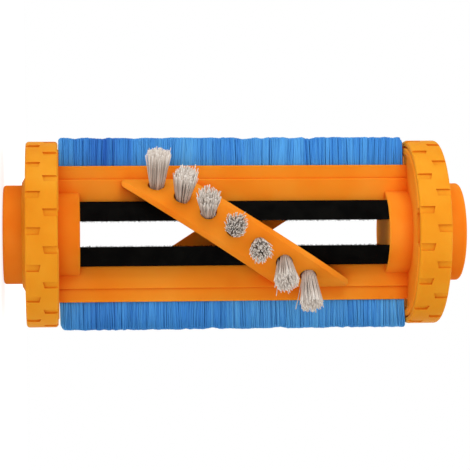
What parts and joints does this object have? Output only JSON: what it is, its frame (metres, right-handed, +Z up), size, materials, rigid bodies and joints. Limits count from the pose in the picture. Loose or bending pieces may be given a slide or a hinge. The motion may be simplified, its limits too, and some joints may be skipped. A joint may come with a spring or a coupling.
{
  "type": "vacuum roller brush",
  "caption": "Small vacuum brush roller: an open two-part frame with a wheel at each end, straight bristle strips on its rails and a spiral row of bristle tufts on each side.",
  "frame": {"origin": "centre of the drive hub's end face, on which the roller stands", "axes": "+Z up along the roller's axis to the bearing end, bristle strips at -X and +X, front ramp at -Y"},
  "size_m": [0.0502, 0.0504, 0.1194],
  "materials": {
    "frame_plastic": "satin moulded",
    "tread_plastic": "soft matt moulded",
    "base_rubber": "matt",
    "blue_bristle": "nylon filament",
    "tuft_bristle": "nylon filament",
    "anchor_steel": "drawn wire",
    "socket_plastic": "moulded nylon",
    "bearing_steel": "ground",
    "ball_steel": "polished",
    "cage_plastic": "moulded nylon",
    "shield_steel": "pressed sheet"
  },
  "bodies": {
    "roller": {"front_half_frame": "frame_plastic", "rear_half_frame": "frame_plastic", "drive_end_wheel": "tread_plastic", "bearing_end_wheel": "tread_plastic", "strip_base_1": "base_rubber", "strip_base_2": "base_rubber", "bristle_strip_1": "blue_bristle", "bristle_strip_2": "blue_bristle", "front_tuft_anchors": "anchor_steel", "rear_tuft_anchors": "anchor_steel", "drive_socket": "socket_plastic", "bearing_outer_ring": "bearing_steel", "bearing_outer_shield": "shield_steel", "bearing_inner_shield": "shield_steel", "front_tuft_1": "tuft_bristle", "front_tuft_2": "tuft_bristle", "front_tuft_3": "tuft_bristle", "front_tuft_4": "tuft_bristle", "front_tuft_5": "tuft_bristle", "front_tuft_6": "tuft_bristle", "front_tuft_7": "tuft_bristle", "rear_tuft_1": "tuft_bristle", "rear_tuft_2": "tuft_bristle", "rear_tuft_3": "tuft_bristle", "rear_tuft_4": "tuft_bristle", "rear_tuft_5": "tuft_bristle", "rear_tuft_6": "tuft_bristle", "rear_tuft_7": "tuft_bristle"},
    "inner_ring": {"bearing_inner_ring": "bearing_steel"},
    "cage": {"bearing_cage": "cage_plastic", "bearing_balls": "ball_steel"}
  },
  "joints": [
    {"name": "axle_spin", "type": "hinge", "parent": "roller", "child": "inner_ring", "pos_m": [0, 0, 0.1157], "axis": [0, 0, 1], "continuous": true},
    {"name": "cage_spin", "type": "hinge", "parent": "roller", "child": "cage", "pos_m": [0, 0, 0.1157], "axis": [0, 0, 1], "continuous": true}
  ],
  "couplings": [
    {"joint": "cage_spin", "follows": "axle_spin", "ratio": 0.3879}
  ]
}
